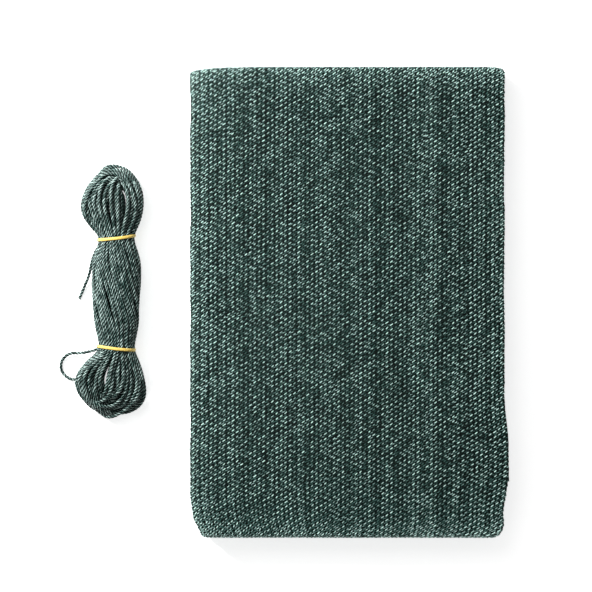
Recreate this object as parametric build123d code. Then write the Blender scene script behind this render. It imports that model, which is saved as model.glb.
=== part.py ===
from build123d import *
import math
import os

os.makedirs("parts", exist_ok=True)

# All lengths are millimetres. The folded net lies on the XY plane with its zigzag folds
# along X, its long side along Y, and the middle of its underside at the origin.
# The hank of tie cord lies beside its -X edge.

# Folded net: one knitted sheet, folded to a narrow strip and then zigzag into leaves
PACK_WIDTH = 245.0
PACK_LENGTH = 366.5
LEAF_COUNT = 7
LEAF_THICKNESS = 4.6
LEAF_GAP = 0.3
SIDE_ROUNDING = 2.0
FAR_CORNER = (5.0, 5.0)
NEAR_CORNER = (9.0, 20.0)
BOTTOM_LEAF_SETBACK = 42.0
BOTTOM_LEAF_FLARE = 4.7
BOTTOM_LEAF_FLARE_LENGTH = 120.0

# Hank of tie cord, and the two elastic bands round its necks
CORD_DIAMETER = 2.4
HANK_DISTANCE = 58.5
BAND_WIDTH = 2.5
BAND_THICKNESS = 1.0
NECK_LENGTH = 5.4
NECK_WIDTH = 29.0
NECK_HEIGHT = 20.0
NECK_CENTRE_HEIGHT = 12.0
UPPER_NECK_Y = 50.4
UPPER_NECK_TILT = 7.0
LOWER_NECK_Y = -36.0
LOWER_NECK_TILT = -6.0
FLATTENING = 0.8

# Sections of the hank's lobes from its +Y end to its -Y end, as place along Y, offset of
# the middle from the hank's line, width and height
UPPER_LOBE = [
    (104.0, -0.8, 24.0, 12.0),
    (90.0, -1.6, 46.0, 22.0),
    (75.0, -3.8, 52.5, 25.0),
    (61.0, -2.6, 43.0, 24.0),
]
MIDDLE_LOBE = [
    (34.0, 0.2, 38.5, 25.0),
    (10.0, 0.2, 39.5, 26.0),
    (-16.0, 0.3, 36.0, 25.0),
]
LOWER_LOBE = [
    (-47.0, -2.8, 43.0, 23.0),
    (-58.0, -6.6, 57.0, 25.0),
    (-71.0, -3.4, 56.5, 24.0),
    (-80.5, -1.0, 46.0, 19.0),
    (-88.0, -2.0, 24.0, 12.0),
]

# Routes of the two stretches of cord that lie outside the hank, from the hank's line
TAIL_ROUTE = [
    (-10.0, 49.0, 13.5),
    (-16.5, 40.5, 10.5),
    (-21.0, 30.5, 6.5),
    (-23.0, 19.5, 2.8),
    (-28.0, 9.5, 1.4),
    (-30.5, 2.0, 1.3),
]
LOOP_ROUTE = [
    (-13.5, -36.5, 10.0),
    (-20.5, -38.7, 8.2),
    (-28.5, -40.3, 5.4),
    (-36.9, -40.3, 3.0),
    (-42.7, -46.2, 1.9),
    (-42.7, -54.5, 1.9),
    (-36.9, -60.4, 3.4),
    (-28.8, -61.0, 8.0),
    (-21.8, -58.0, 13.0),
]
ARC_SHARE = 0.45

# Places that follow from the sizes above
PACK_X = -BOTTOM_LEAF_FLARE / 2
HANK_X = PACK_X - PACK_WIDTH / 2 - HANK_DISTANCE
LEAF_PITCH = LEAF_THICKNESS + LEAF_GAP
SHARP = (0, 0)
SHORTEST_EDGE = 0.001


def rounded_outline(low, high, corners):
    """Rectangle between two opposite points. Each corner is a quarter ellipse with the
    given (x radius, y radius), counter-clockwise from the corner at high."""
    places = [high, (low[0], high[1]), low, (high[0], low[1])]
    inward = [(-1, -1), (1, -1), (1, 1), (-1, 1)]
    edges = []
    ends = []
    for quarter, (place, way, (rx, ry)) in enumerate(zip(places, inward, corners)):
        centre = Vector(place[0] + way[0] * rx, place[1] + way[1] * ry)
        if rx > 0:
            arc = EllipticalCenterArc(centre, rx, ry, start_angle=90 * quarter, arc_size=90)
            edges.append(arc)
            ends.append((arc @ 0, arc @ 1))
        else:
            ends.append((centre, centre))
    for (_, leave), (arrive, _) in zip(ends, ends[1:] + ends[:1]):
        if (arrive - leave).length > SHORTEST_EDGE:
            edges.append(Line(leave, arrive))
    return make_face(edges)


def leaf_profile(start_y, end_y, corners):
    """A leaf seen along X, carried across more than the whole width."""
    outline = rounded_outline((start_y, 0), (end_y, LEAF_THICKNESS), corners)
    return extrude(Plane.YZ * outline, amount=PACK_WIDTH, both=True)


def leaf_section(start_x, end_x):
    """A leaf seen along Y, with rounded long edges, carried along the whole length."""
    rounding = (SIDE_ROUNDING, SIDE_ROUNDING)
    outline = rounded_outline((start_x, 0), (end_x, LEAF_THICKNESS), [rounding] * 4)
    return extrude(Plane.XZ * outline, amount=PACK_LENGTH, both=True)


def leaf_ends(number):
    """Rounding of the leaf's ends, counter-clockwise in its YZ profile from the upper +Y
    corner. Odd leaves join the leaf above at +Y and even leaves join it at -Y, so the
    lower corner is rounded there and the upper corner at the other end."""
    bend = (LEAF_THICKNESS, LEAF_THICKNESS)
    closed = (LEAF_THICKNESS / 2, LEAF_THICKNESS / 2)
    if number == 1:
        return [SHARP, SHARP, SHARP, bend]
    if number == LEAF_COUNT:
        return [closed, bend, SHARP, closed]
    if number % 2:
        return [SHARP, bend, SHARP, bend]
    return [bend, SHARP, bend, SHARP]


def leaf(number):
    """One full leaf of the pack, with the soft corners of the pack's -Y end."""
    half_x = PACK_WIDTH / 2
    half_y = PACK_LENGTH / 2
    corners = [FAR_CORNER, FAR_CORNER, NEAR_CORNER, NEAR_CORNER]
    outline = rounded_outline((-half_x, -half_y), (half_x, half_y), corners)
    plan = extrude(outline, amount=LEAF_THICKNESS)
    body = plan & leaf_profile(-half_y, half_y, leaf_ends(number)) & leaf_section(-half_x, half_x)
    return Pos(PACK_X, 0, (number - 1) * LEAF_PITCH) * body


def bottom_leaf():
    """The lowest leaf. Its free end stops short of the pack's -Y end, and its +X edge
    runs out past the leaves above towards that end."""
    half_x = PACK_WIDTH / 2
    half_y = PACK_LENGTH / 2
    free_y = -half_y + BOTTOM_LEAF_SETBACK
    corners = [FAR_CORNER, FAR_CORNER, SHARP, SHARP]
    straight = rounded_outline((-half_x, free_y), (half_x, half_y), corners)
    flare = make_face(Polyline(
        (half_x - FAR_CORNER[0], free_y),
        (half_x + BOTTOM_LEAF_FLARE, free_y),
        (half_x, free_y + BOTTOM_LEAF_FLARE_LENGTH),
        (half_x - FAR_CORNER[0], free_y + BOTTOM_LEAF_FLARE_LENGTH),
        close=True))
    plan = extrude(straight + flare, amount=LEAF_THICKNESS)
    body = plan & leaf_profile(free_y, half_y, leaf_ends(1))
    body = body & leaf_section(-half_x, half_x + BOTTOM_LEAF_FLARE)
    return Pos(PACK_X, 0, 0) * body


def neck_plane(y, tilt, along):
    """Section plane of a neck, square to the neck's own line, at a distance along it."""
    across = Vector(1, 0, 0).rotate(Axis.Z, tilt)
    forward = Vector(0, 1, 0).rotate(Axis.Z, tilt)
    centre = Vector(HANK_X, y, NECK_CENTRE_HEIGHT) + forward * along
    return Plane(origin=centre, x_dir=across, z_dir=-forward)


def neck_section(y, tilt, along, grow=0.0):
    """Ellipse of the neck, larger all round by grow."""
    return neck_plane(y, tilt, along) * Ellipse(NECK_WIDTH / 2 + grow, NECK_HEIGHT / 2 + grow)


def lobe_section(row):
    """Ellipse of a lobe, set low enough for its underside to be flattened by the ground."""
    y, offset, width, height = row
    centre = (HANK_X + offset, y, height / 2 - FLATTENING)
    return Plane(origin=centre, x_dir=(1, 0, 0), z_dir=(0, -1, 0)) * Ellipse(width / 2, height / 2)


def hank():
    """Outer shape of the wound cord: three lobes, drawn in at two necks and flat below."""
    half = NECK_LENGTH / 2
    upper_top = neck_section(UPPER_NECK_Y, UPPER_NECK_TILT, half)
    upper_base = neck_section(UPPER_NECK_Y, UPPER_NECK_TILT, -half)
    lower_top = neck_section(LOWER_NECK_Y, LOWER_NECK_TILT, half)
    lower_base = neck_section(LOWER_NECK_Y, LOWER_NECK_TILT, -half)
    upper = loft([lobe_section(row) for row in UPPER_LOBE] + [upper_top])
    upper_neck = loft([upper_top, upper_base])
    middle = loft([upper_base] + [lobe_section(row) for row in MIDDLE_LOBE] + [lower_top])
    lower_neck = loft([lower_top, lower_base])
    lower = loft([lower_base] + [lobe_section(row) for row in LOWER_LOBE])
    body = upper + upper_neck + middle + lower_neck + lower
    room = 4 * PACK_LENGTH
    above_ground = Pos(0, 0, room / 2) * Box(room, room, room)
    return body & above_ground


def band(y, tilt):
    """Elastic band round one neck."""
    half = BAND_WIDTH / 2
    places = (-half, half)
    outside = loft([neck_section(y, tilt, place, BAND_THICKNESS) for place in places])
    inside = loft([neck_section(y, tilt, place) for place in places])
    return outside - inside


def bend_radii(points):
    """Radius of the arc at each inner point: as large as its two runs allow."""
    radii = []
    for before, here, after in zip(points, points[1:], points[2:]):
        run_in = here - before
        run_out = after - here
        half_turn = math.radians(run_in.get_angle(run_out)) / 2
        radii.append(ARC_SHARE * min(run_in.length, run_out.length) / math.tan(half_turn))
    return radii


def loose_cord(name, route, wound):
    """Tube of loose cord along a route, ending face to face with the wound hank."""
    points = [Vector(HANK_X + x, y, z) for x, y, z in route]
    radii = bend_radii(points)
    path = FilletPolyline(*points, radius=radii)
    section = Plane(origin=path @ 0, z_dir=path % 0) * Circle(CORD_DIAMETER / 2)
    tube = sweep(section, path=path)
    expected = math.pi * CORD_DIAMETER ** 2 / 4 * path.length
    outside = (tube - wound).solids().sort_by(SortBy.VOLUME)[-1]
    print(name, "bend radii", [round(radius, 1) for radius in radii])
    print(name, "length", round(path.length, 1), "share outside the hank", round(outside.volume / expected, 3))
    print(name, "tube volume over section times length", round(tube.volume / expected, 4))
    return outside


def main():
    wound = hank()
    parts = {"net_leaf_1": bottom_leaf()}
    for number in range(2, LEAF_COUNT + 1):
        parts[f"net_leaf_{number}"] = leaf(number)
    parts["cord_hank"] = wound
    parts["cord_tail"] = loose_cord("cord_tail", TAIL_ROUTE, wound)
    parts["cord_side_loop"] = loose_cord("cord_side_loop", LOOP_ROUTE, wound)
    parts["upper_elastic_band"] = band(UPPER_NECK_Y, UPPER_NECK_TILT)
    parts["lower_elastic_band"] = band(LOWER_NECK_Y, LOWER_NECK_TILT)
    for name, shape in parts.items():
        export_step(shape, f"parts/{name}.step")


main()
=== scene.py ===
import math

import bpy
import numpy as np
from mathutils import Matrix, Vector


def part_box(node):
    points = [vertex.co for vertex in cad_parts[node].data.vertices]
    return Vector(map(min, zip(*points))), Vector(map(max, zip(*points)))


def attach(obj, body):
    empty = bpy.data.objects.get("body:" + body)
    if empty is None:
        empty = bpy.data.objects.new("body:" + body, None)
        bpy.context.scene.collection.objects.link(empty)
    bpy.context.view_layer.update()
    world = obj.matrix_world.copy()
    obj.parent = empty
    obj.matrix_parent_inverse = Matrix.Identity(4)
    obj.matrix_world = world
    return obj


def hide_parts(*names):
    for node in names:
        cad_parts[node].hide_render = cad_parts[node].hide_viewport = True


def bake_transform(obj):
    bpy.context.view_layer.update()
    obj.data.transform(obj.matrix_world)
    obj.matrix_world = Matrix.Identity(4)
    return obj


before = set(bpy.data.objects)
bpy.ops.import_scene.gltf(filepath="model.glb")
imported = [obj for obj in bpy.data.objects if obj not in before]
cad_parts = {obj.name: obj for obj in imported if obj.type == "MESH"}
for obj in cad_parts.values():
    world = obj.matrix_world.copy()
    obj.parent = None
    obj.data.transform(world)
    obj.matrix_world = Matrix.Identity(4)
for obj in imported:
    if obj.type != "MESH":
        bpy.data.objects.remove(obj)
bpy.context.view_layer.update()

MM = 0.001
PACK_LOW, PACK_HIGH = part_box("net_leaf_7")
LEAF_THICKNESS = PACK_HIGH.z - PACK_LOW.z
PACK_TOP = PACK_HIGH.z
PACK_X = (PACK_LOW.x + PACK_HIGH.x) / 2
PACK_WIDTH = PACK_HIGH.x - PACK_LOW.x
PACK_LENGTH = PACK_HIGH.y - PACK_LOW.y
HANK_DISTANCE = 58.5 * MM
HANK_X = PACK_X - PACK_WIDTH / 2 - HANK_DISTANCE


# ---------------------------------------------------------------- camera and light

SENSOR_WIDTH = 36
VIEW_WIDTH = 460 * MM
CAMERA_DISTANCE = 2.2
CAMERA_OFFSET = (-40.0 * MM, 4.8 * MM)
WORLD_STRENGTH = 0.3
FLOOR_REACH = 12.0
FLOOR_COLOUR = (0.9, 0.9, 0.9, 1)
FLOOR_ROUGHNESS = 0.9
FLOOR_GLOW = 0.68
WHITE = (1, 1, 1, 1)


def add_camera():
    """Straight down on the pack and the hank, from far off."""
    data = bpy.data.cameras.new("camera")
    data.sensor_width = SENSOR_WIDTH
    data.lens = data.sensor_width * CAMERA_DISTANCE / VIEW_WIDTH
    camera = bpy.data.objects.new("camera", data)
    camera.location = (PACK_X + CAMERA_OFFSET[0], CAMERA_OFFSET[1], PACK_TOP + CAMERA_DISTANCE)
    bpy.context.scene.collection.objects.link(camera)
    bpy.context.scene.camera = camera


def add_area_light(name, location, target, size, power):
    data = bpy.data.lights.new(name, "AREA")
    data.shape = "DISK"
    data.size = size
    data.energy = power
    light = bpy.data.objects.new(name, data)
    light.location = location
    direction = np.array(target) - np.array(location)
    light.rotation_euler = Vector(direction).to_track_quat("-Z", "Y").to_euler()
    bpy.context.scene.collection.objects.link(light)


def add_lights():
    """A soft key light from the upper left, a fainter one from above, and an even white surround."""
    middle = (PACK_X, 0, 0)
    add_area_light("key", (-0.95, 0.75, 0.85), middle, size=0.4, power=50)
    add_area_light("top", (-0.5, 0.9, 1.7), middle, size=1.0, power=6)
    world = bpy.data.worlds.new("studio")
    world.use_nodes = True
    background = world.node_tree.nodes["Background"]
    background.inputs["Color"].default_value = WHITE
    background.inputs["Strength"].default_value = WORLD_STRENGTH
    bpy.context.scene.world = world
    bpy.context.scene.view_settings.view_transform = "Standard"


def add_floor():
    """A white floor that glows a little, so that shadows on it stay faint."""
    mesh = bpy.data.meshes.new("floor")
    corners = [(x * FLOOR_REACH, y * FLOOR_REACH, 0) for x, y in ((-1, -1), (1, -1), (1, 1), (-1, 1))]
    mesh.from_pydata(corners, [], [(0, 1, 2, 3)])
    floor = bpy.data.objects.new("floor", mesh)
    bpy.context.scene.collection.objects.link(floor)
    material = bpy.data.materials.new("floor_white")
    material.use_nodes = True
    shader = material.node_tree.nodes["Principled BSDF"]
    shader.inputs["Base Color"].default_value = FLOOR_COLOUR
    shader.inputs["Roughness"].default_value = FLOOR_ROUGHNESS
    shader.inputs["Emission Color"].default_value = WHITE
    shader.inputs["Emission Strength"].default_value = FLOOR_GLOW
    mesh.materials.append(material)


add_camera()
add_lights()
add_floor()


# ---------------------------------------------------------------- mesh helpers

def link_mesh(name, points, faces):
    """Smooth object with this mesh. points are in millimetres, and faces is an array of point numbers."""
    mesh = bpy.data.meshes.new(name)
    mesh.from_pydata((np.asarray(points) * MM).tolist(), [], np.asarray(faces).tolist())
    mesh.validate()
    mesh.shade_smooth()
    made = bpy.data.objects.new(name, mesh)
    bpy.context.scene.collection.objects.link(made)
    return made


def store(mesh, name, values):
    """Keeps a vector for each point, for the materials to read."""
    made = mesh.attributes.new(name, "FLOAT_VECTOR", "POINT")
    made.data.foreach_set("vector", np.asarray(values, np.float32).ravel())


def path_length(points):
    """How far along the path each point lies."""
    return np.concatenate([[0], np.cumsum(np.linalg.norm(np.diff(points, axis=0), axis=1))])


def smooth_noise(shape, along, spacing, draw):
    """Random values that change slowly along each strand."""
    count = int(np.ptp(along) / spacing) + 3
    knots = draw.uniform(-1, 1, (shape[0], count))
    place = (along - along.min()) / spacing
    first = place.astype(int)
    part = place - first
    part = part * part * (3 - 2 * part)
    return knots[:, first] * (1 - part) + knots[:, first + 1] * part


def tube_faces(tubes, rings, sides, first=0):
    """Faces of open tubes whose points are numbered ring by ring."""
    here = np.arange(tubes * rings * sides).reshape(tubes, rings, sides) + first
    turned = np.roll(here, -1, 2)
    faces = np.stack([here[:, :-1], turned[:, :-1], turned[:, 1:], here[:, 1:]], -1)
    return faces.reshape(-1, 4)


# ---------------------------------------------------------------- materials

# Spacing of the net's wales and courses, and how far each wale's loops are behind the last one's
WALE = 3.43
COURSE = 1.915
STAGGER = 0.93 * math.pi

# Near black for the painted shade in the cord's grooves and on the low yarns
SHADE_BLACK = (0.0, 0.004, 0.003, 1)
# Near black for the painted shade seen through the gaps of the knit
GAP_SHADE_BLACK = (0.001, 0.004, 0.003, 1)
# Pale green for the painted highlights on the knit's strands
HIGHLIGHT_PALE_GREEN = (0.56, 0.79, 0.73)
CLOTH_GREEN = (0.036, 0.085, 0.074)


class Shading:
    """A material being made, with short names for the nodes that all the materials share."""

    def __init__(self, name):
        self.material = bpy.data.materials.new(name)
        self.material.use_nodes = True
        self.tree = self.material.node_tree
        self.shader = self.tree.nodes["Principled BSDF"]

    def put(self, socket, value):
        if isinstance(value, (int, float, tuple)):
            socket.default_value = value
        else:
            self.tree.links.new(value, socket)

    def maths(self, operation, *values):
        node = self.tree.nodes.new("ShaderNodeMath")
        node.operation = operation
        for socket, value in zip(node.inputs, values):
            self.put(socket, value)
        return node.outputs[0]

    def place(self, attribute):
        """The three parts of a vector kept on the mesh, and the vector."""
        kept = self.tree.nodes.new("ShaderNodeAttribute")
        kept.attribute_name = attribute
        parts = self.tree.nodes.new("ShaderNodeSeparateXYZ")
        self.put(parts.inputs[0], kept.outputs["Vector"])
        return parts.outputs[0], parts.outputs[1], parts.outputs[2], kept.outputs["Vector"]

    def noise(self, vector, scale, detail):
        node = self.tree.nodes.new("ShaderNodeTexNoise")
        self.put(node.inputs["Vector"], vector)
        self.put(node.inputs["Scale"], scale)
        self.put(node.inputs["Detail"], detail)
        return node.outputs["Fac"]

    def step(self, value, low, high):
        """Smooth step from 0 to 1 as a value goes from low to high."""
        node = self.tree.nodes.new("ShaderNodeMapRange")
        node.interpolation_type = "SMOOTHSTEP"
        for socket, given in zip(node.inputs, (value, low, high)):
            self.put(socket, given)
        return node.outputs[0]

    def mix(self, factor, first, second):
        node = self.tree.nodes.new("ShaderNodeMix")
        node.data_type = "RGBA"
        self.put(node.inputs[0], factor)
        self.put(node.inputs[6], first)
        self.put(node.inputs[7], second)
        return node.outputs[2]

    def bump(self, height, distance, strength):
        node = self.tree.nodes.new("ShaderNodeBump")
        self.put(node.inputs["Strength"], strength)
        self.put(node.inputs["Distance"], distance)
        self.put(node.inputs["Height"], height)
        self.put(self.shader.inputs["Normal"], node.outputs[0])

    def finish(self, **sockets):
        for name, value in sockets.items():
            self.put(self.shader.inputs[name.replace("_", " ")], value)
        return self.material


def fibre_material(name, black, dark, pale, roughness, specular):
    """Plastic fibres, darker and paler by the tone kept on the mesh, with a satin face. On the yarns
    and the cord that tone holds painted shade and painted highlights as well as their own tone.
    """
    made = Shading(name)
    _, _, tone_and_painted_light, place = made.place("yarn")
    fine = made.noise(place, 1.3, 2.0)
    shade = made.maths("ADD", tone_and_painted_light, made.maths("MULTIPLY_ADD", fine, 1.4, -0.7))
    deep = made.mix(made.step(shade, -0.8, 0.2), black, dark)
    base = made.mix(made.step(shade, 0.05, 1.5), deep, pale)
    made.bump(fine, 0.0001, 0.4)
    return made.finish(Base_Color=base, Roughness=roughness, Specular_IOR_Level=specular)


def cloth_material(name, painted_shade_brightness):
    """The same knit as colour and relief, on the plies that have no separate yarns.
    painted_shade_brightness is how bright it is: low for the painted shade where yarns lie over it."""
    made = Shading(name)
    u, v, _, place = made.place("cloth")
    slow = made.noise(place, 0.14, 2.0)
    wale = made.maths("DIVIDE", u, WALE)
    stagger = made.maths("MULTIPLY", made.maths("ROUND", wale), STAGGER)
    start = made.maths("MULTIPLY_ADD", slow, 9.0, stagger)
    phase = made.maths("MULTIPLY_ADD", v, math.pi / COURSE, start)
    swing = made.maths("SINE", phase)
    chain_line = made.maths("MULTIPLY_ADD", swing, 0.17, wale)
    laid_line = made.maths("MULTIPLY_ADD", made.maths("SINE", made.maths("ADD", phase, 1.2)), 0.32, wale)
    chain_gap = made.maths("PINGPONG", chain_line, 0.5)
    laid_gap = made.maths("ABSOLUTE", made.maths("SUBTRACT", made.maths("FRACT", laid_line), 0.5))
    chain = made.step(chain_gap, 0.20, 0.08)
    laid = made.maths("MULTIPLY", made.step(laid_gap, 0.19, 0.07), 0.6)
    height = made.maths("MAXIMUM", chain, laid)
    fine = made.noise(place, 0.9, 3.0)
    speckle = made.maths("MULTIPLY", fine, 0.9)
    # The rising side of each chain loop is painted pale as a highlight, and the gaps near black as shade
    rising = made.maths("MULTIPLY_ADD", made.maths("COSINE", phase), 0.55, speckle)
    pale = made.maths("MULTIPLY", chain, made.step(rising, 0.35, 1.0))
    dark = made.mix(height, GAP_SHADE_BLACK, (*(part * painted_shade_brightness for part in CLOTH_GREEN), 1))
    base = made.mix(pale, dark, (*(part * painted_shade_brightness for part in HIGHLIGHT_PALE_GREEN), 1))
    made.bump(height, 0.0008, 0.9)
    return made.finish(Base_Color=base, Roughness=0.5, Specular_IOR_Level=0.10)


# Yarn and cord: near black for painted shade, pale for painted highlights. The band's colours are its own
# tone
YARN_MATERIAL = fibre_material(
    "knitted_yarn", SHADE_BLACK, (0.033, 0.085, 0.074, 1), (*HIGHLIGHT_PALE_GREEN, 1),
    roughness=0.34, specular=0.10)
CORD_MATERIAL = fibre_material(
    "twisted_cord", SHADE_BLACK, (0.022, 0.060, 0.052, 1), (0.70, 0.88, 0.83, 1),
    roughness=0.34, specular=0.15)
BAND_MATERIAL = fibre_material(
    "elastic_rubber", (0.30, 0.19, 0.04, 1), (0.70, 0.50, 0.12, 1), (0.92, 0.74, 0.26, 1),
    roughness=0.45, specular=0.3)
CLOTH_MATERIAL = cloth_material("knitted_cloth", 1.0)
# The outer ply under the yarns, its colour dimmed to 0.05 as painted shade
SHADED_CLOTH_MATERIAL = cloth_material("knitted_cloth_shaded", 0.05)


# ---------------------------------------------------------------- tie cord, in millimetres

CORD_DIAMETER = 2.4
TURNS = 42
UPPER_NECK = 50.4
LOWER_NECK = -36.0
UPPER_NECK_TILT = 7.0
LOWER_NECK_TILT = -6.0
UPPER_TIP = 103.6
LOWER_TIP = -87.6
# Offset of the middle from the hank's line, width, height and middle height of both necks
NECK = (0.0, 29.0, 20.0, 12.0)
NECK_HALF_LENGTH = 2.7
FLATTENING = 0.8
# Place along Y, offset of the middle from the hank's line, width and height of the lobes' sections
LOBES = [
    (-88.0, -2.0, 24.0, 12.0),
    (-80.5, -1.0, 46.0, 19.0),
    (-71.0, -3.4, 56.5, 24.0),
    (-58.0, -6.6, 57.0, 25.0),
    (-47.0, -2.8, 43.0, 23.0),
    (-16.0, 0.3, 36.0, 25.0),
    (10.0, 0.2, 39.5, 26.0),
    (34.0, 0.2, 38.5, 25.0),
    (61.0, -2.6, 43.0, 24.0),
    (75.0, -3.8, 52.5, 25.0),
    (90.0, -1.6, 46.0, 22.0),
    (104.0, -0.8, 24.0, 12.0),
]
NECK_ENDS = [neck + way * NECK_HALF_LENGTH for neck in (UPPER_NECK, LOWER_NECK) for way in (-1, 1)]
HANK_SECTIONS = np.array(sorted(
    [(y, *NECK) for y in NECK_ENDS]
    + [(y, offset, width, height, height / 2 - FLATTENING) for y, offset, width, height in LOBES]))

# How the strands lie: turn of the hank between its necks, least half width of a loop, spacing of
# the strands in a neck, of the control points along the turns and of the finished line's points,
# and rounds of moving the strands off each other
TWIST = math.radians(68)
FOLD_BEND = 3.3 * CORD_DIAMETER
SLOT_PITCH = 0.985 * CORD_DIAMETER
CONTROL_SPACING = 2.3
LINE_SPACING = 1.1
SETTLING_ROUNDS = 90

# How the strands spread into each lobe: share across the neck, and place across the lobe
UPPER_FAN = np.array([
    (-1.0, -36.0), (-0.85, -31.5), (-0.5, -18.5), (0.0, -4.5), (0.25, 3.5), (0.4, 13.0), (1.0, 22.0),
])
LOWER_FAN = np.array([
    (-1.0, -42.0), (-0.85, -37.0), (-0.5, -22.5), (0.0, -7.0), (0.5, 9.0), (0.85, 23.5), (1.0, 29.0),
])
# Each end's neck, tip, way along Y, fan, and how far its loops lean across
UPPER_END = (UPPER_NECK, UPPER_TIP, 1, UPPER_FAN, 2.0)
LOWER_END = (LOWER_NECK, LOWER_TIP, -1, LOWER_FAN, -3.0)

# The rope: length of one full turn of its strands, number of strands, points round it, and the
# radius of its ridges and the depth of its grooves as shares of the cord's radius
LAY = 8.4
STRANDS = 3
RING = 12
RIDGE_RADIUS = 1.17
GROOVE_DEPTH = 0.36

BAND_SIDES = 12
BAND_RINGS = 96

# Control points where the cord lies outside the hank, from the hank's line
TAIL_ROUTE = [
    (-10.0, 49.0, 13.5),
    (-15.8, 41.5, 11.5),
    (-19.8, 32.0, 8.5),
    (-21.6, 21.5, 4.5),
    (-26.2, 11.5, 1.9),
    (-30.0, 2.5, 1.3),
]
LOOP_ROUTE = [
    (-13.5, -36.5, 10.0),
    (-20.5, -38.7, 8.2),
    (-28.5, -40.3, 5.4),
    (-37.5, -39.8, 3.0),
    (-44.4, -46.0, 1.9),
    (-44.4, -54.8, 1.9),
    (-37.5, -60.8, 3.4),
    (-28.8, -61.0, 8.0),
    (-21.8, -58.0, 13.0),
]
LOOP_RETURN = [
    (-16.5, -52.0, 17.0),
    (-11.5, -45.0, 18.5),
]
# Where the side loop's strand lies in the lower neck as it leaves and as it comes back: offset
# from the hank's line, and height
LOOP_LEAVES = (-2.0, 11.0)
LOOP_COMES_BACK = (-8.0, 18.0)


def hank_section(y):
    """Middle x, half width, half height and middle height of the hank, less the cord's own radius."""
    places, *columns = HANK_SECTIONS.T
    x, width, height, z = (np.interp(y, places, column) for column in columns)
    return x, (width - CORD_DIAMETER) / 2, (height - CORD_DIAMETER) / 2, z


def neck_slots(count):
    """Places of the strands in a neck, packed side by side, as shares of its half width and height."""
    _, wide, high, _ = hank_section(UPPER_NECK)
    found = []
    for row in range(-7, 8):
        for column in range(-8, 9):
            x = (column + 0.5 * (row % 2)) * SLOT_PITCH
            z = row * SLOT_PITCH * math.sqrt(3) / 2
            found.append((math.hypot(x / wide, z / high), x / wide, z / high))
    found.sort()
    return np.array([(x, z) for _, x, z in found[:count]])


def turned_with_hank(slots, share):
    """Where strands lie in the section of the hank after this share of its twist."""
    angle = -TWIST * (3 * share ** 2 - 2 * share ** 3)
    u, w = slots[..., 0], slots[..., 1]
    return u * np.cos(angle) - w * np.sin(angle), u * np.sin(angle) + w * np.cos(angle)


def order_of_passes(slots, draw):
    """Visits every slot once, crossing the hank at each end."""
    _, wide, high, _ = hank_section(UPPER_NECK)
    lower = np.stack(turned_with_hank(slots, 1.0), 1)
    order = [int(np.argmax(slots[:, 0]))]
    left = set(range(len(slots))) - set(order)
    while left:
        at = lower if len(order) % 2 else slots
        here = at[order[-1]]
        scores = {k: math.hypot((at[k][0] - here[0]) * wide, (at[k][1] - here[1]) * high)
                  + 9 * draw.random() for k in left}
        best = max(scores, key=scores.get)
        order.append(best)
        left.remove(best)
    return order


def pass_points(slot, downward, draw):
    """One strand between the two necks, turning with the hank and spreading to its outside."""
    places = np.linspace(UPPER_NECK + 2, LOWER_NECK - 2, 30)
    share = (places[0] - places) / (places[0] - places[-1])
    u, w = turned_with_hank(slot, share)
    out = np.hypot(u, w)
    spread = 1 + (np.minimum(1.0, out ** 0.4) / max(out[0], 0.1) - 1) * np.sin(share * math.pi) ** 0.5
    x, wide, high, z = hank_section(places)
    sway = 0.10 * np.sin(share * math.pi * 2 + draw.random() * 7) * np.sin(share * math.pi)
    points = np.stack([x + wide * (u * spread + sway), places, z + high * w * spread], 1)
    return points if downward else points[::-1]


def leg(strand, side, rise, straight, shares):
    """Rows (across, outward, rise) from a strand in the neck out to one side of its lobe."""
    rows = []
    for share in shares:
        ease = math.sin(share * math.pi / 2) ** 1.5
        rows.append((strand + (side - strand) * ease, straight * share, rise))
    return rows


def end_loop(start, stop, upper, draw):
    """The turn of cord round one end of the hank, from strand to strand. Each leg spreads into
    the lobe as its strand lies in the neck, and rises as far as the lobe's outline lets it."""
    neck, tip, way, fan, lean = UPPER_END if upper else LOWER_END
    x, wide, high, z = hank_section(neck)
    across = np.clip([(start[0] - x) / wide, (stop[0] - x) / wide], -0.98, 0.98)
    rise = np.clip([(start[2] - z) / high, (stop[2] - z) / high] / np.sqrt(1 - across ** 2), -1, 1)
    sides = np.interp(across, fan[:, 0], fan[:, 1]) + draw.uniform(-1.5, 1.5, 2)
    middle = sides.mean()
    depth = (rise[0] - rise[1]) * 9.0
    widest = math.sqrt(max((2 * FOLD_BEND) ** 2 - depth ** 2, (sides[0] - sides[1]) ** 2))
    half_width = math.copysign(widest / 2, sides[0] - sides[1])
    sides = middle + half_width * np.array([1, -1])
    size = min(abs(half_width) / 24, 1.0)
    reach = abs(tip - neck) - (1 - size) * draw.uniform(3, 19) - draw.uniform(0, 3.0)
    round_end = min(6.0 + 0.95 * abs(half_width), 0.6 * reach)
    straight = reach - round_end
    lean = lean * size
    rows = leg(start[0], sides[0], rise[0], straight, np.linspace(0.08, 1, 9))
    for angle in np.linspace(0, math.pi, 19)[1:-1]:
        turn = math.copysign(abs(math.cos(angle)) ** 0.85, math.cos(angle))
        rows.append((middle + half_width * turn + lean * math.sin(angle) ** 2,
                     straight + round_end * math.sin(angle) ** 0.85,
                     rise.mean() + (rise[0] - rise[1]) / 2 * turn))
    rows += leg(stop[0], sides[1], rise[1], straight, np.linspace(1, 0.08, 9))
    rows = np.array(rows)
    y = neck + way * rows[:, 1]
    x, wide, high, z = hank_section(y)
    out = np.clip((rows[:, 0] - x) / wide, -0.99, 0.99)
    return np.stack([x + wide * out, y, z + high * rows[:, 2] * np.sqrt(1 - out ** 2)], 1)


def evenly_spaced(points, spacing):
    """Points at an even spacing along the turns of the hank."""
    along = path_length(points)
    wanted = np.linspace(0, along[-1], int(round(along[-1] / spacing)) + 1)
    return np.stack([np.interp(wanted, along, points[:, k]) for k in range(3)], 1)


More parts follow.
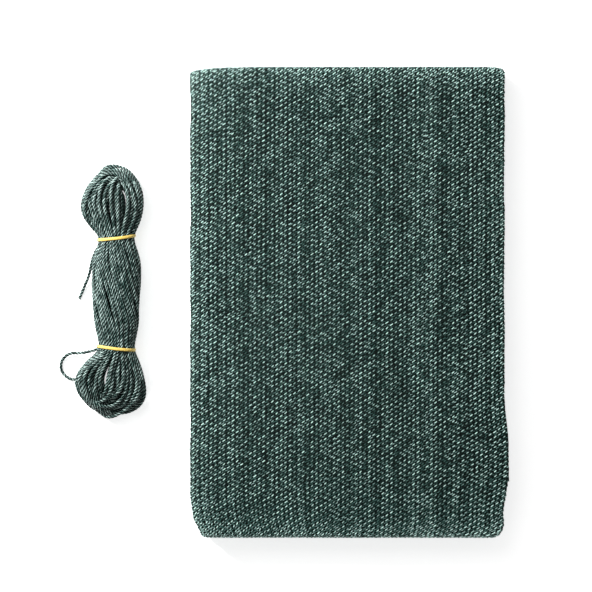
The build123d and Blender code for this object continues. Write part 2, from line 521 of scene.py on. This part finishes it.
def pushed_apart(points, distance):
    """How far each point has to move for the cord not to lie in itself."""
    order = np.argsort(points[:, 1], kind="stable")
    placed = points[order]
    push = np.zeros_like(points)
    for offset in range(1, len(points)):
        gap = placed[offset:] - placed[:-offset]
        if gap[:, 1].min() > distance:
            break
        far = np.sqrt((gap ** 2).sum(1))
        apart = np.abs(order[offset:] - order[:-offset])
        hit = (far < distance) & (apart > 4)
        share = ((distance - far[hit]) / np.maximum(far[hit], 0.05) / 2)[:, None]
        np.add.at(push, order[offset:][hit], gap[hit] * share)
        np.add.at(push, order[:-offset][hit], -gap[hit] * share)
    return push


def smoothed(values, free, share, rounds):
    """Values drawn towards the middle of their neighbours, where the cord is free to move."""
    for _ in range(rounds):
        values = values.copy()
        values[1:-1] += share * ((values[:-2] + values[2:]) / 2 - values[1:-1]) * free[1:-1, None]
    return values


def settled(points, free):
    """Moves the strands off each other, smoothly along each, and keeps them inside the hank's outline."""
    points = smoothed(points, free, 0.5, 6)
    laid = points
    for _ in range(SETTLING_ROUNDS):
        shift = points - laid + 0.45 * pushed_apart(points, CORD_DIAMETER * 1.02) * free[:, None]
        points = laid + smoothed(shift, free, 0.5, 1)
        x, wide, high, z = hank_section(points[:, 1])
        out = np.sqrt(((points[:, 0] - x) / wide) ** 2 + ((points[:, 2] - z) / high) ** 2)
        scale = np.where((out > 1) & (free > 0), 1 / np.maximum(out, 1), 1)
        points[:, 0] = x + (points[:, 0] - x) * scale
        points[:, 2] = np.maximum(z + (points[:, 2] - z) * scale, CORD_DIAMETER / 2)
    return smoothed(points, free, 0.5, 5)


def pass_that_leaves(strands):
    """The downward pass that comes nearest to where the side loop leaves and comes back."""
    def distance(number):
        leaving = strands[number][-5]
        back = strands[number + 1][0]
        return math.dist(leaving[::2], LOOP_LEAVES) + math.dist(back[::2], LOOP_COMES_BACK)
    return min(range(2, len(strands) - 1, 2), key=distance)


def hank_route():
    """Control points of the whole cord, from the tip of its tail to its end inside the hank."""
    draw = np.random.default_rng(11)
    slots = neck_slots(2 * TURNS)
    _, wide, high, z = hank_section(UPPER_NECK)
    tail_x, _, tail_z = TAIL_ROUTE[0]
    tail_slot = np.argmin(np.hypot(slots[:, 0] * wide - tail_x, slots[:, 1] * high + z - tail_z))
    slots = np.delete(slots, tail_slot, 0)
    order = order_of_passes(slots, draw)
    strands = [pass_points(slots[k], number % 2 == 0, draw) for number, k in enumerate(order)]
    leaving = pass_that_leaves(strands)
    neck_of_tail = np.array((tail_x + 4.0, UPPER_NECK + 2.0, tail_z + 1.0))
    runs = [np.array(TAIL_ROUTE[::-1]), end_loop(neck_of_tail, strands[0][0], True, draw)]
    held = [True, False]
    for number, strand in enumerate(strands):
        if number == leaving:
            runs += [strand[:-6], np.array(LOOP_ROUTE), np.array(LOOP_RETURN)]
            held += [False, True, False]
            continue
        runs.append(strand)
        held.append(False)
        if number < len(strands) - 1:
            runs.append(end_loop(strand[-1], strands[number + 1][0], number % 2 == 1, draw))
            held.append(False)
    route, free = joined(runs, held)
    return settled(route, free) + np.array([HANK_X / MM, 0, 0])


def joined(runs, held):
    """The runs one after another. A held run keeps its own points, and the turns between them
    get points at an even spacing."""
    parts, freedom, waiting = [], [], []
    for run, keep in zip(runs + [None], held + [True]):
        if keep and waiting:
            turns = evenly_spaced(np.concatenate(waiting), CONTROL_SPACING)
            parts.append(turns)
            freedom.append(np.ones(len(turns)))
            waiting = []
        if run is None:
            continue
        if keep:
            parts.append(run)
            freedom.append(np.zeros(len(run)))
        else:
            waiting.append(run)
    return np.concatenate(parts), np.concatenate(freedom)


def nurbs_line(name, points, spacing):
    """Points along the smooth line that has these as its control points, about this far apart."""
    curve = bpy.data.curves.new(name, "CURVE")
    curve.dimensions = "3D"
    curve.resolution_u = 10
    spline = curve.splines.new("NURBS")
    spline.points.add(len(points) - 1)
    spline.points.foreach_set("co", np.c_[points, np.ones(len(points))].ravel())
    spline.order_u = 3
    spline.use_endpoint_u = True
    held = bpy.data.objects.new(name, curve)
    bpy.context.scene.collection.objects.link(held)
    bpy.context.view_layer.update()
    mesh = bpy.data.meshes.new_from_object(held.evaluated_get(bpy.context.evaluated_depsgraph_get()))
    line = np.array([v.co for v in mesh.vertices])
    bpy.data.objects.remove(held)
    bpy.data.meshes.remove(mesh)
    number = (path_length(line) / spacing).astype(int)
    kept = np.concatenate([[True], np.diff(number) > 0])
    kept[-1] = True
    return line[kept]


def carried_frames(line):
    """A normal and a binormal for each point, carried along without turning."""
    tangent = np.gradient(line, axis=0)
    tangent /= np.linalg.norm(tangent, axis=1)[:, None]
    normal = np.zeros_like(line)
    side = np.cross(tangent[0], (0.0, 0.0, 1.0))
    for k, along in enumerate(tangent):
        side = side - along * side.dot(along)
        side = side / np.linalg.norm(side)
        normal[k] = side
    return normal, np.cross(tangent, normal)


def twisted_rope(name, line, diameter):
    """Three strands laid round each other, as one skin whose ridges run round with the lay."""
    draw = np.random.default_rng(5)
    normal, binormal = carried_frames(line)
    along = path_length(line)
    around = np.arange(RING) * 2 * math.pi / RING
    off_ridge = np.abs((around * STRANDS / (2 * math.pi) + 0.5) % 1 - 0.5) * 2
    radius = diameter / 2 * (RIDGE_RADIUS - GROOVE_DEPTH * off_ridge ** 1.5)
    turn = along[:, None] * 2 * math.pi / LAY + around[None, :]
    out = np.cos(turn)[..., None] * normal[:, None] + np.sin(turn)[..., None] * binormal[:, None]
    points = (line[:, None] + out * radius[None, :, None]).reshape(-1, 3)
    made = link_mesh(name, points, tube_faces(1, len(line), RING))
    fibres = smooth_noise((STRANDS, len(line)), along, 3.1, draw)[np.arange(RING) * STRANDS // RING].T
    # Paler on the ridges and near black in the grooves: painted highlight and painted shade, plus each
    # strand's own tone
    tone_and_painted_light = 0.85 - 2.9 * off_ridge[None, :] ** 1.3 + 0.5 * fibres
    place = np.stack([np.broadcast_to(along[:, None], turn.shape),
                      np.broadcast_to(around[None, :] * diameter / 2, turn.shape), tone_and_painted_light], -1)
    store(made.data, "yarn", place)
    return made


def elastic_band(name, neck, tilt, bow):
    """A flat elastic ring round a neck, a little thicker in the middle and bowed where it crosses
    the top."""
    turn = np.linspace(0, 2 * math.pi, BAND_RINGS, endpoint=False)
    _, width, height, z = NECK
    corners = []
    for angle in np.arange(BAND_SIDES) * 2 * math.pi / BAND_SIDES:
        wide = 1.15 * np.sign(math.cos(angle)) * abs(math.cos(angle)) ** 0.6
        thick = 0.5 * np.sign(math.sin(angle)) * abs(math.sin(angle)) ** 0.7 + 0.45
        ripple = 0.06 * np.sin(turn * 31) * (thick > 0.5)
        across = (width / 2 + thick + ripple) * np.cos(turn)
        up = (height / 2 + thick + ripple) * np.sin(turn)
        forward = wide + bow * np.clip(np.sin(turn), 0, 1) * np.sin(turn + 0.4)
        lean = math.radians(tilt)
        corners.append(np.stack([across * math.cos(lean) - forward * math.sin(lean),
                                 neck + across * math.sin(lean) + forward * math.cos(lean),
                                 z + up], -1))
    points = np.stack(corners, 1).reshape(-1, 3) + np.array([HANK_X / MM, 0, 0])
    here = np.arange(BAND_RINGS * BAND_SIDES).reshape(BAND_RINGS, BAND_SIDES)
    on = np.roll(here, -1, 0)
    faces = np.stack([here, on, np.roll(on, -1, 1), np.roll(here, -1, 1)], -1).reshape(-1, 4)
    made = link_mesh(name, points, faces)
    along = (turn * width / 2)[:, None]
    place = np.stack(np.broadcast_arrays(along, np.arange(BAND_SIDES)[None, :] * 0.6, 0.0), -1)
    store(made.data, "yarn", place)
    made.data.materials.append(BAND_MATERIAL)
    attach(made, "hank")
    return made


def add_cord():
    """The whole tie cord and its two bands."""
    line = nurbs_line("tie_cord_line", hank_route(), LINE_SPACING)
    rope = twisted_rope("tie_cord", line, CORD_DIAMETER)
    rope.data.materials.append(CORD_MATERIAL)
    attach(rope, "hank")
    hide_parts("cord_hank", "cord_tail", "cord_side_loop")
    upper = elastic_band("upper_band", UPPER_NECK, UPPER_NECK_TILT, -0.7)
    lower = elastic_band("lower_band", LOWER_NECK, LOWER_NECK_TILT, -0.5)
    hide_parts("upper_elastic_band")
    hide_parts("lower_elastic_band")


add_cord()


# ---------------------------------------------------------------- folded net, in millimetres

HALF_X = PACK_WIDTH / MM / 2
HALF_Y = PACK_LENGTH / MM / 2
MIDDLE_X = PACK_X / MM
LEAF = LEAF_THICKNESS / MM
LEAVES = sum(name.startswith("net_leaf_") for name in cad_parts)
PITCH = (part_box("net_leaf_7")[0].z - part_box("net_leaf_6")[0].z) / MM
GAP = PITCH - LEAF
FREE_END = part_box("net_leaf_1")[0].y / MM
FLARE = (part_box("net_leaf_1")[1].x - PACK_HIGH.x) / MM
TOP = PACK_TOP / MM
FLAT_END = HALF_Y - LEAF
CLOSED_END = HALF_Y - LEAF / 2

# A leaf is two halves of four plies. The outermost ply's distance from the leaf's middle, and
# the radii of the strip's folds at its left edge and its right edge
PLY = LEAF / 8
OUTER_PLY = 3.5 * PLY
OUTER_FOLD = 1.5 * PLY
INNER_FOLD = 0.5 * PLY

# Where one leaf turns over into the next
CREASE_TO_MIDDLE = GAP / 2 + LEAF / 2
FOLD_RADIUS = CREASE_TO_MIDDLE + OUTER_PLY

# The soft corners: how far in and how far along each one reaches. The lower left one is a table
# of distances from the pack's end and how far in the side is there
FAR_CORNER = (4.0, 4.5)
NEAR_CORNER = (9.5, 21.0)
LEFT_CORNER = np.array([(36, 0.0), (20, 1.8), (14.5, 2.6), (8, 6.2), (1.5, 9.3), (0, 11.5)])

# The bulge of the right side and the dip beyond it: size, place along Y and spread. The lowest
# leaf flares out beyond the leaves above over a length of its own
BULGE = (3.3, -125, 34)
DIP = (1.7, -163, 9)
FLARE_LENGTH = 120.0

# How far the top sinks towards each edge: depth, and how far in from the edge it starts. Where
# two edges meet, the top sinks no deeper than the last value
LEFT_DROOP = (2.0, 15)
RIGHT_DROOP = (1.1, 9)
FAR_DROOP = (2.3, 24)
NEAR_DROOP = (2.6, 30)
DEEPEST_DROOP = 3.4

# The yarns: points round each one and along each course, and their thickness
YARN_SIDES = 4
SAMPLES = 6
YARN_THICKNESS = 0.5


def waves(y, seed, size):
    """A slow wobble along the net's edge."""
    draw = np.random.default_rng(seed)
    total = np.zeros_like(y)
    for length in (83.0, 41.0, 19.0, 9.0):
        strength = draw.uniform(0.4, 1.0)
        total += strength * np.sin(y * 2 * math.pi / length + draw.uniform(0, 7)) * length ** 0.5
    return size * total / 14


def drawn_in(inset, length, beyond, power):
    """How far a round corner draws in at a place this far beyond the end of the pack."""
    share = np.clip((beyond + length) / length, 0, 1)
    return inset * (1 - np.sqrt(1 - share ** power))


def corner_inset(y, toward):
    """How far a side draws in at the soft corners of both ends: the lower left one is the longest."""
    far = drawn_in(*FAR_CORNER, y - HALF_Y, 2)
    near = drawn_in(*NEAR_CORNER, -y - HALF_Y, 3)
    left = np.interp(-y, HALF_Y - LEFT_CORNER[:, 0], LEFT_CORNER[:, 1])
    return far + np.where(toward < 0, left, near)


def hump(y, size, place, spread):
    return size * np.exp(-((y - place) / spread) ** 2)


def sunk(depth, start, inward):
    """How far the top sinks at this distance in from an edge."""
    return depth * np.clip(1 - inward / start, 0, 1) ** 2


def lain(points, layer):
    """Points of the neat folded net, moved to where the slack cloth lies. layer numbers the half leaf."""
    x, y, z = points[..., 0], points[..., 1], points[..., 2]
    toward = np.clip(x / HALF_X, -1, 1)
    right = np.clip(toward, 0, 1)
    left = np.clip(-toward, 0, 1)
    moved = x * (HALF_X - corner_inset(y, toward)) / HALF_X
    calm = np.clip((HALF_Y - 6 - np.abs(y)) / 22, 0, 1)
    moved = moved + right ** 3 * (waves(y, 40 + layer, 0.7) - 0.5) * calm
    moved = moved - left ** 3 * (waves(y, 80 + layer, 0.6) - 0.4) * calm
    moved = moved + right ** 4 * (hump(y, *BULGE) - hump(y, *DIP)) * (z / TOP) ** 0.3
    rounded = 3.2 * np.exp(-(x + HALF_X) / 15) + 1.0 * np.exp((x - HALF_X) / 7)
    end = y - rounded * np.clip(y / HALF_Y, 0, 1) ** 8
    if layer <= 2:
        moved = moved + right ** 6 * FLARE * np.clip(1 - (y - FREE_END) / FLARE_LENGTH, 0, 1)
    slack = 0.5 * np.sin(x / 29 + 1.0) * np.sin(y / 43 + 0.4) + 0.35 * np.sin(x / 15 + y / 26 + 2.1)
    droop = (sunk(*LEFT_DROOP, x + HALF_X) + sunk(*RIGHT_DROOP, HALF_X - x)
             + sunk(*FAR_DROOP, HALF_Y - y) + sunk(*NEAR_DROOP, y + HALF_Y))
    height = z + (slack - 0.5 - np.minimum(droop, DEEPEST_DROOP)) * np.clip(z / TOP, 0, 1) ** 1.3
    return np.stack([moved + MIDDLE_X, end, np.maximum(height, 0.05)], -1)


def end_of(lower):
    """The end where this leaf joins the next: 1 at +Y, -1 at -Y."""
    return 1 if lower % 2 else -1


def crease_height(lower):
    return lower * PITCH - GAP / 2


def leaf_middle(number):
    return (number - 1) * PITCH + LEAF / 2


def body_of(number):
    return "net_base" if number <= 2 else f"net_leaf_{number}_body"


def across_one_ply(start, stop, distance, count=22):
    """Section points across the strip, closer together near its edges."""
    share = (1 - np.cos(np.linspace(0, math.pi, count))) / 2
    return np.stack([start + (stop - start) * share, np.full(count, distance)], 1)


def round_a_fold(x, side, before, after):
    """Section points round a fold at an edge, from one ply to the next."""
    angle = np.linspace(0, math.pi, 9)[1:-1]
    radius = (before - after) / 2
    distance = (before + after) / 2 + radius * np.cos(angle)
    return np.stack([x + side * abs(radius) * np.sin(angle), distance], 1)


def half_leaf_section():
    """Four plies as one path from open edge to open edge: x, and distance from the leaf's middle."""
    left = -HALF_X + OUTER_FOLD
    right = HALF_X - INNER_FOLD
    lowest, inner_low, inner_high = 0.5 * PLY, 1.5 * PLY, 2.5 * PLY
    return np.concatenate([
        across_one_ply(HALF_X - 1.4, left, inner_low),
        round_a_fold(left, -1, inner_low, inner_high),
        across_one_ply(left, right, inner_high),
        round_a_fold(right, 1, inner_high, OUTER_PLY),
        across_one_ply(right, left, OUTER_PLY),
        round_a_fold(left, -1, OUTER_PLY, lowest),
        across_one_ply(left, HALF_X - 0.6, lowest),
    ])


def carried(section, stations, layer, start=0.0):
    """Grid of points of the section carried to stations of y, z and the way (dy, dz) that it faces."""
    x, distance = section[:, 0], section[:, 1]
    y = stations[:, 0, None] + distance * stations[:, 2, None]
    z = stations[:, 1, None] + distance * stations[:, 3, None]
    grid = lain(np.stack([np.broadcast_to(x, y.shape), y, z], -1), layer)
    along = start + path_length(np.stack([y.mean(1), z.mean(1)], 1))
    cloth = np.stack([np.broadcast_to(path_length(section), y.shape),
                      np.broadcast_to(along[:, None], y.shape),
                      np.full(y.shape, float(layer))], -1)
    return grid, cloth


def grid_faces(rows, columns, first):
    here = np.arange(rows * columns).reshape(rows, columns) + first
    return np.stack([here[:-1, :-1], here[:-1, 1:], here[1:, 1:], here[1:, :-1]], -1).reshape(-1, 4)


def cloth_piece(name, grids):
    """One object from several grids of (points, cloth place)."""
    points, cloths, faces = [], [], []
    count = 0
    for grid, cloth in grids:
        faces.append(grid_faces(grid.shape[0], grid.shape[1], count))
        points.append(grid.reshape(-1, 3))
        cloths.append(cloth.reshape(-1, 3))
        count += grid.shape[0] * grid.shape[1]
    made = link_mesh(name, np.concatenate(points), np.concatenate(faces))
    store(made.data, "cloth", np.concatenate(cloths))
    return made


def flat_run(low, high, middle, way, count=64):
    """Stations along a flat leaf, closer together near both ends."""
    share = np.linspace(0, 1, count)
    share = share - np.sin(2 * math.pi * share) / (2 * math.pi) * 0.75
    y = low + (high - low) * share
    return np.stack([y, np.full(count, middle), np.zeros(count), np.full(count, float(way))], 1)


def round_run(y, middle, side, count):
    """Stations round a fold at one end, from facing down to facing up."""
    angle = np.linspace(-math.pi / 2, math.pi / 2, count)
    return np.stack([np.full(count, y), np.full(count, middle), side * np.cos(angle), np.sin(angle)], 1)


def leaf_piece(number, section):
    """One leaf: two halves that face each other, or for the top leaf one run round its closed end."""
    middle = leaf_middle(number)
    low = FREE_END if number == 1 else -FLAT_END
    lower_layer, upper_layer = 2 * number - 1, 2 * number
    if number < LEAVES:
        below = carried(section, flat_run(low, FLAT_END, middle, -1), lower_layer)
        above = carried(section, flat_run(low, FLAT_END, middle, 1), upper_layer, start=400.0)
        return cloth_piece(f"net_leaf_{number}_cloth", [below, above])
    below = flat_run(low, CLOSED_END, middle, -1)
    above = flat_run(low, CLOSED_END, middle, 1)[::-1]
    around = round_run(CLOSED_END, middle, 1, 13)
    stations = np.concatenate([below, around[1:-1], above])
    return cloth_piece(f"net_leaf_{number}_cloth", [carried(section, stations, upper_layer)])


def fold_section(section):
    """All eight plies measured from the crease between two leaves: the near half and the far half."""
    near = np.stack([section[:, 0], CREASE_TO_MIDDLE - section[:, 1]], 1)
    far = np.stack([section[:, 0], CREASE_TO_MIDDLE + section[:, 1]], 1)
    return near, far


def fold_piece(lower, section):
    """The eight plies where a leaf turns over into the next."""
    side = end_of(lower)
    stations = round_run(side * FLAT_END, crease_height(lower), side, 17)
    near, far = fold_section(section)
    grids = [carried(near, stations, 2 * lower), carried(far, stations, 2 * lower)]
    return cloth_piece(f"net_fold_{lower}_{lower + 1}", grids)


def follow_the_fold(piece, lower):
    """Rides with the base where both leaves belong to it; elsewhere its place is baked into its mesh."""
    if body_of(lower) == body_of(lower + 1):
        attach(piece, body_of(lower))
        return
    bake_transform(piece)


# ---------------------------------------------------------------- knitted yarns on the outer plies

def unit(vectors):
    return vectors / np.maximum(np.linalg.norm(vectors, axis=-1, keepdims=True), 1e-9)


def tapes(surface, across, along, height, width):
    """Tape-like yarns that follow lines on a surface, one row of points for each yarn."""
    step = 0.05
    here = surface(across, along)
    normal = unit(np.cross(surface(across + step, along) - here, surface(across, along + step) - here))
    centre = here + normal * height[..., None]
    forward = unit(np.gradient(centre, axis=1))
    side = unit(np.cross(forward, normal))
    up = np.cross(side, forward)
    corners = []
    for angle in np.arange(YARN_SIDES) * 2 * math.pi / YARN_SIDES:
        wide = (width * math.cos(angle) / 2)[..., None]
        high = YARN_THICKNESS * math.sin(angle) / 2
        corners.append(centre + side * wide + up * high)
    return np.stack(corners, 2)


def knit_yarns(surface, wales, low, high, seed):
    """The chain of loops along each wale, and below it the yarn laid in between the wales."""
    draw = np.random.default_rng(seed)
    found = []
    for kind in ("chain", "laid"):
        rings = int((high - low) / COURSE * SAMPLES) + 1
        line = np.linspace(low, high, rings)
        shape = (len(wales), rings)
        along = np.broadcast_to(line, shape)
        pairs = along * math.pi / COURSE + 0.8 * smooth_noise(shape, line, 14.0, draw)
        pairs = pairs + STAGGER * np.round(wales[:, None] / WALE)
        loops = 2 * pairs
        drift = 0.10 * smooth_noise(shape, line, 11.0, draw) + 0.12 * smooth_noise(shape, line, 2.1, draw)
        scale = 1 + 0.30 * smooth_noise(shape, line, 2.3, draw)
        lift = 0.08 * smooth_noise(shape, line, 2.2, draw)
        width = 0.66 + 0.16 * smooth_noise(shape, line, 1.7, draw)
        # Here the tone is painted light: paler where the yarn rides high and darker where it lies low
        # (painted highlight and painted shade), and every other stroke of the chain gets a painted
        # highlight
        if kind == "chain":
            across = wales[:, None] + scale * (0.45 * np.sin(loops) + 0.55 * np.sin(pairs)) + drift
            height = 0.46 + 0.24 * np.cos(loops) + lift
            tone_and_painted_light = -0.15 + 0.42 * np.cos(loops) + 0.80 * np.cos(pairs)
        else:
            across = wales[:, None] + WALE / 2 + 1.05 * scale * np.sin(pairs + 1.2) + drift
            height = 0.20 + 0.12 * np.cos(pairs + 1.2) + lift
            tone_and_painted_light = -0.40 + 0.60 * np.cos(pairs + 1.2)
        ripple = 0.24 * np.sin(loops)
        skein = tapes(surface, across, along + ripple, height, width)
        # Paler towards the pack's sides and ends, where the cloth turns to catch the light: painted
        # light. The pattern flattens towards the near end, and each yarn and stretch gets its own tone
        sides = 0.6 * np.exp(-(across + HALF_X) / 10) + 0.3 * np.exp((across - HALF_X) / 4)
        ends = 0.8 * np.exp((along - HALF_Y) / 9) + 0.75 * np.exp(-(along + HALF_Y) / 10)
        even = 1 - 0.55 * np.exp(-(along + HALF_Y) / 26)
        tone_and_painted_light = tone_and_painted_light * even + 0.25 * draw.uniform(-1, 1, (len(wales), 1))
        tone_and_painted_light = tone_and_painted_light + np.minimum(sides + ends, 0.9)
        tone_and_painted_light = tone_and_painted_light + 0.62 * even * smooth_noise(shape, line, COURSE, draw)
        yarn = np.broadcast_to(draw.uniform(0, 90, (len(wales), 1)), shape)
        place = np.stack([along, yarn, tone_and_painted_light], -1)
        found.append((skein, np.repeat(place[:, :, None], YARN_SIDES, 2)))
    return found


def yarn_piece(name, skeins, first, last):
    """One object from the stretch of every yarn between two places along the net."""
    points, places, faces = [], [], []
    count = 0
    for skein, place in skeins:
        line = place[0, :, 0, 0]
        kept = (line > first - 0.35) & (line < last + 0.35)
        stretch = skein[:, kept]
        faces.append(tube_faces(stretch.shape[0], stretch.shape[1], YARN_SIDES, count))
        points.append(stretch.reshape(-1, 3))
        places.append(place[:, kept].reshape(-1, 3))
        count += stretch.size // 3
    points = np.concatenate(points)
    points[:, 2] = np.maximum(points[:, 2], 0.0)
    made = link_mesh(name, points, np.concatenate(faces))
    store(made.data, "yarn", np.concatenate(places))
    made.data.materials.append(YARN_MATERIAL)
    return made


def outer_ply(across):
    """x and distance from the leaf's middle on the outer ply and round the folds at both long edges."""
    left = -HALF_X + OUTER_FOLD
    right = HALF_X - INNER_FOLD
    left_turn = np.clip((left - across) / OUTER_FOLD, 0, math.pi)
    right_turn = np.clip((across - right) / INNER_FOLD, 0, math.pi)
    x = np.clip(across, left, right) - OUTER_FOLD * np.sin(left_turn) + INNER_FOLD * np.sin(right_turn)
    distance = OUTER_PLY - OUTER_FOLD * (1 - np.cos(left_turn)) - INNER_FOLD * (1 - np.cos(right_turn))
    return x, distance


def top_surface(across, along):
    """The top of the pack with the turn at both ends. along is y on the flat part."""
    x, distance = outer_ply(across)
    far_turn = np.clip((along - CLOSED_END) / OUTER_PLY, 0, math.pi)
    near_turn = np.clip((-FLAT_END - along) / FOLD_RADIUS, 0, math.pi)
    near = FOLD_RADIUS - OUTER_PLY + distance
    y = np.clip(along, -FLAT_END, CLOSED_END) + distance * np.sin(far_turn) - near * np.sin(near_turn)
    far_z = leaf_middle(LEAVES) + distance * np.cos(far_turn)
    near_z = crease_height(LEAVES - 1) + near * np.cos(near_turn)
    return lain(np.stack([x, y, np.where(near_turn > 0, near_z, far_z)], -1), 2 * LEAVES)


def fold_surface(lower):
    """The outside of the turn between two leaves, measured along its arc: from the upper leaf
    where they join at +Y, from the lower leaf where they join at -Y."""
    side = end_of(lower)
    crease = crease_height(lower)

    def surface(across, along):
        x, distance = outer_ply(across)
        reach = FOLD_RADIUS - OUTER_PLY + distance
        y = side * (FLAT_END + reach * np.sin(along / FOLD_RADIUS))
        z = crease + side * reach * np.cos(along / FOLD_RADIUS)
        return lain(np.stack([x, y, z], -1), 2 * lower)
    return surface


def shade_under_yarns(piece, section, first):
    """From the given face on, the outer ply is seen only between the yarns that lie on it, and is painted
    dark there as shade.
    """
    piece.data.materials.append(SHADED_CLOTH_MATERIAL)
    outer = (section[:-1, 1] + section[1:, 1]) / 2 > OUTER_PLY - PLY
    number = np.arange(len(piece.data.polygons)) - first
    shaded = (number >= 0) & outer[number % len(outer)]
    piece.data.polygons.foreach_set("material_index", shaded.astype(np.int32))


def add_net():
    """The leaves and the folds between them, from the lowest up."""
    section = half_leaf_section()
    for number in range(1, LEAVES + 1):
        piece = leaf_piece(number, section)
        piece.data.materials.append(CLOTH_MATERIAL)
        if number == LEAVES:
            shade_under_yarns(piece, section, len(piece.data.polygons) // 2)
        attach(piece, body_of(number))
        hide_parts(f"net_leaf_{number}")
        if number < LEAVES:
            fold = fold_piece(number, section)
            fold.data.materials.append(CLOTH_MATERIAL)
            shade_under_yarns(fold, section, len(fold.data.polygons) // 2)
            follow_the_fold(fold, number)


def add_yarns():
    """Yarns on the top of the pack, in three widths, and round the fold between each two leaves."""
    wales = np.arange(-HALF_X + OUTER_FOLD - 1.9, HALF_X + 0.4, WALE)
    thirds = np.array_split(wales, 3)
    low = -FLAT_END - math.pi * FOLD_RADIUS
    high = CLOSED_END + 0.9 * math.pi * OUTER_PLY
    turned = []
    for letter, group in zip("abc", thirds):
        skeins = knit_yarns(top_surface, group, low, high, 300 + ord(letter))
        top = yarn_piece(f"top_yarns_{letter}", skeins, -FLAT_END, high)
        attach(top, body_of(LEAVES))
        turned.append(yarn_piece(f"turned_yarns_{LEAVES - 1}_{LEAVES}_{letter}", skeins, low, -FLAT_END))
    for piece in turned:
        follow_the_fold(piece, LEAVES - 1)
    for lower in range(1, LEAVES - 1):
        skeins = knit_yarns(fold_surface(lower), wales, 0, math.pi * FOLD_RADIUS, 400 + lower)
        piece = yarn_piece(f"turned_yarns_{lower}_{lower + 1}", skeins, 0, math.pi * FOLD_RADIUS)
        follow_the_fold(piece, lower)


add_net()
add_yarns()
